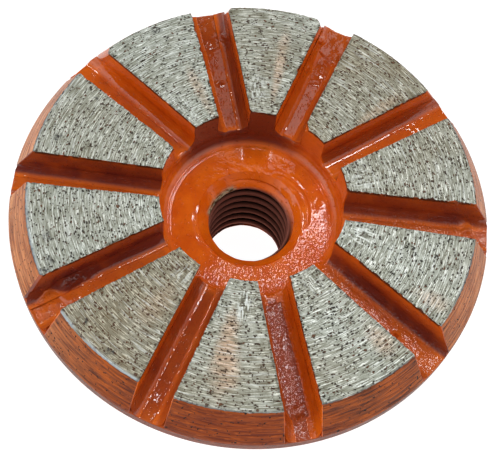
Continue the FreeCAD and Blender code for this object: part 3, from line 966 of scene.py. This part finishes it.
def make_plate(materials):
    """Backing plate: coned back, turned rim, painted groove floors, recess wall and ledge."""
    low_rim, floor_end = PLATE_TOP - RIM_T, WHEEL_R - RIM_ROUND
    first_turn = math.asin((SPIGOT_R - RECESS_R + COVE_R) / COVE_R)
    cove = RECESS_R - COVE_R + COVE_R * np.sin(np.linspace(first_turn, math.pi / 2, 14))
    rows = [(r, cove_height(r), "ledge") for r in cove]
    rows += [(RECESS_R, share, "wall") for share in steps(16)[1:-1]]
    rows += [(turn, 0, "corner") for turn in np.linspace(0, math.pi / 2, 7)]
    rows += [(share, 0, "floor") for share in steps(150)[1:]]
    rim = ((floor_end, PLATE_TOP), (WHEEL_R, PLATE_TOP - RIM_ROUND), (WHEEL_R, low_rim))
    rim = rounded((*rim, (BACK_FLAT_R, SHOULDER), (SPIGOT_R, SHOULDER)), (0.03, 0.3, 1.5))
    rows += [(r, z, "outside") for r, z in even_path(rim, 0.8)[1:]]
    rows += [(SPIGOT_R, (SHOULDER + LEDGE) / 2, "outside")]

    share, second, kind = (np.array(column) for column in zip(*rows))
    radius = np.where(kind == "corner", RECESS_R, share)
    radius = np.where(kind == "floor", RECESS_R + (floor_end - RECESS_R) * share, radius)
    angle = plate_angles(radius)
    share = share[:, None]
    wall, corner, floor = ((kind == name)[:, None] for name in ("wall", "corner", "floor"))

    across = groove_place(polar(RECESS_R, angle, 0.0))[2]
    opening = 1 - smooth(GROOVE_IN / 2 - 0.5, GROOVE_IN / 2 + 0.1, np.abs(across))
    rounding = 0.04 + 0.5 * opening
    top = PLATE_TOP + (SEGMENT_LOW.z - PLATE_TOP) * (1 - opening)
    low = HUB_TOP - PAINT_SINK + COVE_R
    z = np.where(wall, low + (top - rounding - low) * second[:, None], second[:, None])
    r = np.where(corner, RECESS_R + rounding * (1 - np.cos(share)), radius[:, None])
    z = np.where(corner, top - rounding * (1 - np.sin(share)), z)
    start = RECESS_R + rounding
    r = np.where(floor, start + (floor_end - start) * share, r)
    z = np.where(floor, PLATE_TOP + (top - PLATE_TOP) * smooth(1.2, 0.1, r - RECESS_R), z)
    points = polar(r, angle, z)
    in_groove = floor * smooth(0.0, 0.5, r - RECESS_R - 0.6)
    fade_rim = smooth(WHEEL_R - 0.1, WHEEL_R - 0.6, r)
    points[..., 2] += floor_relief(points) * in_groove * (0.25 + 0.75 * fade_rim)

    drips = 0.16 * bump_at(np.abs(across), 1.5, 0.5) * bump_at(z, PLATE_TOP - 0.8, 0.8)
    drips = drips + 0.05 * opening * bump_at(z, PLATE_TOP - 0.5, 0.9)
    drips = drips * (1 + 0.9 * noise(points, 1.5, 27)) + 0.03 * np.abs(rough(points, 3.0, 23)) * opening
    points[..., :2] *= (1 - np.where(wall | corner, np.abs(drips), 0) / r)[..., None]

    on_rim = (kind == "outside") & (radius > WHEEL_R - 0.05) & (second > low_rim - 0.05)
    points = points.reshape(-1, 3)
    reach, height = spread(points), points[:, 2]
    # The recess wall takes painted shade, and the groove floors thick paint and painted shade.
    on_wall = smooth(RECESS_R + 0.4, RECESS_R + 0.1, reach) * smooth(HUB_TOP - 0.2, HUB_TOP + 0.7, height)
    on_floor = smooth(RECESS_R + 0.3, RECESS_R + 1.5, reach) * (height > PLATE_TOP - 0.8)
    on_floor = on_floor * POOLED_AND_SHADED_GROOVES[groove_place(points)[0] - 1]
    make_piece(
        "backing_plate_body", "backing_plate", "painted_steel", points,
        ring_faces(*angle.shape), materials, np.repeat(on_rim.astype(int), angle.shape[1]),
        pooled=np.clip(on_wall * recess_shade(points) + on_floor, 0, 1),
        hammered=hammered_amount(points) * (height > LEDGE - 0.1),
    )


# --- turned parts

HUB_COLUMNS, WELD_COLUMNS, WELD_ROWS = 320, 540, 12


def even_path(corners, step):
    """Points along straight runs between corners, no further apart than step."""
    corners = np.asarray(corners, float)
    path = [corners[:1]]
    for here, there in zip(corners, corners[1:]):
        count = max(1, math.ceil(np.linalg.norm(there - here) / step))
        path.append(here + (there - here) * steps(count + 1)[1:, None])
    return np.concatenate(path)


def rounded(corners, radii):
    """An open outline with each inner corner replaced by a round that starts at this distance."""
    corners = np.array(corners, float)
    result = [corners[0]]
    for before, at, after, radius in zip(corners, corners[1:], corners[2:], radii):
        start, end = (at + (side - at) / np.linalg.norm(side - at) * radius for side in (before, after))
        share = steps(6)[:, None]
        result.extend((1 - share) ** 2 * start + 2 * share * (1 - share) * at + share**2 * end)
    return np.array([*result, corners[-1]])


def thread_radius(angle, z):
    """The bore's radius at an angle and height: a right-hand thread cut outwards."""
    phase = (z / THREAD_PITCH - angle / TURN) % 1.0
    from_root = np.abs(phase - 0.5) * THREAD_PITCH
    flank = THREAD_DEPTH * math.tan(math.radians(FLANK_DEG))
    return BORE_R + THREAD_DEPTH * (1 - np.clip((from_root - THREAD_PITCH / 16) / flank, 0, 1))


def make_hub(material):
    """Threaded hub: painted boss and spigot, countersink, helical thread and wrench flats."""
    angle = circle(HUB_COLUMNS)
    mouth_r, exit_r = BORE_R + HUB_TOP - THREAD_HIGH, BORE_R + THREAD_LOW
    floor = even_path(((mouth_r, HUB_TOP), (SPIGOT_R, HUB_TOP)), 0.13)
    boss = ((SPIGOT_R, SHOULDER), (HUB_R, SHOULDER), (HUB_R, HUB_CHAMFER), (HUB_R - HUB_CHAMFER, 0))
    boss = rounded((*boss, (exit_r, 0)), (0.15, 0.3, 0.3))
    outside = np.concatenate((floor, even_path(boss, 0.6)))
    heights = np.arange(0.05, HUB_TOP, 0.11)
    path = np.concatenate((outside, np.stack((0 * heights, heights), -1)))
    z = path[:, 1:]
    is_bore = (np.arange(len(path)) >= len(outside))[:, None]
    cone = BORE_R + np.maximum(z - THREAD_HIGH, THREAD_LOW - z)
    sag = smooth(0.75, 0.35, np.abs(angle_gap(angle, math.radians(25.0)))) * 0.12
    inner = np.maximum(thread_radius(angle, z), cone) - sag * bump_at(z, HUB_TOP - 0.5, 0.7)
    radius = np.where(is_bore, inner, path[:, :1])
    points = polar(radius, angle, z)
    flat_zone = (z < FLAT_HEIGHT) & ~is_bore & (radius > FLAT_HALF - 0.5)
    y = points[..., 1]
    keep = y + (np.clip(y, -FLAT_HALF, FLAT_HALF) - y) * smooth(FLAT_HEIGHT, FLAT_HEIGHT - 0.3, z)
    points[..., 1] = np.where(flat_zone, keep, y)
    on_floor = (z > HUB_TOP - 0.31) & ~is_bore
    points[..., 2] += np.where(on_floor, hub_floor_relief(points, radius, angle), 0)
    points = points.reshape(-1, 3)
    reach, height = spread(points), points[:, 2]
    worn = smooth(0.62, 0.45, np.abs(turned(points, math.radians(146.0))))
    mouth = bump_at(height, THREAD_HIGH + 0.2, 0.45) * (reach < BORE_R + 1.6)
    make_piece(
        "threaded_hub_body", "threaded_hub", "painted_hub", points,
        ring_faces(len(path), HUB_COLUMNS), [material],
        pooled=0.45 * smooth(SHOULDER + 1, SHOULDER, height) * (reach > exit_r - 0.1),
        hammered=hammered_amount(points) * (reach > mouth_r + 0.2),
        bare=np.clip(worn * mouth, 0, 1),
    )


def hub_floor_relief(points, radius, angle):
    """Runs, ridges and a shallow dish in the paint on the hub's face, in millimetres."""
    degrees, behind, from_back = (np.degrees(angle_gap(angle, math.radians(a))) for a in (0, 200, 95))
    along = np.clip((degrees + 8) / 80, 0, 1)
    crest = 9.35 + np.sin(math.pi * along)
    run = 0.2 * bump_at(radius, crest, 0.3) * smooth(0.0, 0.15, along) * smooth(1.0, 0.85, along)
    inside = smooth(crest + 0.1, crest - 0.3, radius) * smooth(0.0, 0.2, along) * smooth(1.0, 0.8, along)
    hook = 0.16 * bump_at(radius, 11.0, 0.35) * bump_at(degrees, 50.0, 7.0)
    tail = 0.10 * bump_at(radius, 9.4, 0.35) * bump_at(behind, 0.0, 26.0)
    wave = rough(points, 3.4, 25) * 0.012
    bead = BEAD_HEIGHT * bump_at(radius, BEAD_R, 0.13) * smooth(125.0, 80.0, np.abs(from_back))
    relief = run + 0.12 * inside + hook + tail + wave + bead + cove_height(radius) - HUB_TOP
    return np.minimum(relief, 0.1)


def make_weld(material):
    """Fillet weld on the back, with the ripples of the torch."""
    angle = circle(WELD_COLUMNS)
    leg = WELD_R - HUB_R
    turn = steps(WELD_ROWS)[:, None]
    bulge = 0.7 * 0.22 * np.sin(math.pi * turn)
    ripple = np.abs(np.sin(angle * 42 + 0.8 * np.sin(angle * 9))) ** 0.7
    swell = 0.82 + 0.12 * ripple + 0.05 * np.sin(angle * 7 + 1)
    radius = np.vstack((HUB_R + leg * swell * turn + bulge, HUB_R + 0 * angle))
    z = np.vstack((SHOULDER - leg * swell * (1 - turn) - bulge * ripple, SHOULDER + 0 * angle))
    points = polar(radius, angle, z).reshape(-1, 3)
    make_piece(
        "hub_weld_bead", "hub_weld_ring", "painted_weld", points,
        ring_faces(WELD_ROWS + 1, WELD_COLUMNS), [material],
        pooled=np.full(len(points), 0.25),
        hammered=np.full(len(points), 0.3),
    )


# --- floor, light and camera

TABLE_R, TABLE_SIDES = 3.0, 64
LIGHT_DISTANCE = 0.9
# Panels of light: name, azimuth, elevation, width and height in metres, and radiance.
LIGHTS = (
    ("window", 66, 66, 0.14, 0.15, 20),
    ("left_pane", 91, 55.5, 0.045, 0.17, 1.1),
    ("right_pane", 84, 55.5, 0.045, 0.17, 1.8),
    ("rear_lamp", 80, 77.5, 0.05, 0.05, 24),
    ("left_lamp", 124, 60, 0.035, 0.035, 45),
    ("high_lamp", 136, 69, 0.03, 0.03, 45),
)
# The room's light as soft lobes: azimuth, elevation, sharpness and strength, over an even glow,
# with a pale band at the horizon.
GLOW = 0.02
HORIZON, HORIZON_SHARPNESS = 0.8, 9.0
LOBES = ((192, 35, 6, 2.2), (0, 38, 6, 1.2), (330, 50, 8, 0.5))


def make_floor():
    """A large pale table top under the hub, which also gives a little light of its own."""
    mesh = bpy.data.meshes.new("table")
    ring = polar(TABLE_R, circle(TABLE_SIDES)[0], 0.0)
    mesh.from_pydata(ring.tolist(), [], [list(range(TABLE_SIDES))])
    n = Nodes(bpy.data.materials.new("pale_table"))
    grey, white = (0.25, 0.25, 0.25, 1.0), (1.0, 1.0, 1.0, 1.0)
    mesh.materials.append(
        n.finish(base_color=grey, roughness=0.9, emission_color=white, emission_strength=0.97)
    )
    table = new_object("table", mesh)


def add_light(name, azimuth, elevation, width, height, radiance):
    """A soft panel of light that looks at the wheel."""
    place = direction(azimuth, elevation) * LIGHT_DISTANCE
    data = bpy.data.lights.new(name, "AREA")
    data.shape = "RECTANGLE"
    data.size = width
    data.size_y = height
    data.energy = radiance * math.pi * width * height
    light = new_object(name, data)
    light.location = place
    light.rotation_euler = (-place).to_track_quat("-Z", "Y").to_euler()


def make_world():
    """A dark studio with a few soft bright regions and a pale horizon."""
    world = bpy.data.worlds.new("studio")
    bpy.context.scene.world = world
    n = Nodes(world)
    toward = n.coordinates["Generated"]
    total = GLOW
    for azimuth, elevation, sharpness, strength in LOBES:
        middle = direction(azimuth, elevation)
        facing = n.add("VectorMath", {0: toward, 1: middle}, operation="DOT_PRODUCT")["Value"]
        lobe = n.times(n.math("POWER", n.math("MAXIMUM", facing, 0.0), sharpness), strength)
        total = n.math("ADD", lobe, total)
    level = n.math("SUBTRACT", 1.0, n.math("ABSOLUTE", n.split(toward)[2]))
    band = n.times(n.math("POWER", level, HORIZON_SHARPNESS), HORIZON)
    background = n.tree.nodes["Background"]
    background.inputs["Color"].default_value = (1.0, 1.0, 1.0, 1.0)
    n.link(n.math("ADD", total, band), background.inputs["Strength"])


def make_camera():
    """The camera, from where it stands to what it looks at, rolled about its own line of sight."""
    data = bpy.data.cameras.new("camera")
    data.lens = CAMERA_LENS
    data.sensor_width = 36.0
    data.clip_start, data.clip_end = 0.01, 20.0
    camera = new_object("camera", data)
    here, target = Vector(CAMERA_AT) * MM, Vector(CAMERA_TARGET) * MM
    look = (target - here).to_track_quat("-Z", "Y").to_matrix().to_4x4()
    roll = Matrix.Rotation(math.radians(CAMERA_ROLL), 4, "Z")
    camera.matrix_world = Matrix.Translation(here) @ look @ roll
    bpy.context.scene.camera = camera


def main():
    paint, rim, matrix = enamel(), turned_rim(), ground_matrix()
    for number in range(1, SEGMENT_COUNT + 1):
        make_segment(number, [matrix, paint, rim])
        make_braze_joint(number, paint)
    make_plate([paint, rim])
    make_hub(thread_and_paint())
    make_weld(paint)
    make_floor()
    make_world()
    for light in LIGHTS:
        add_light(*light)
    make_camera()
    bpy.context.scene.view_settings.view_transform = "Standard"


main()
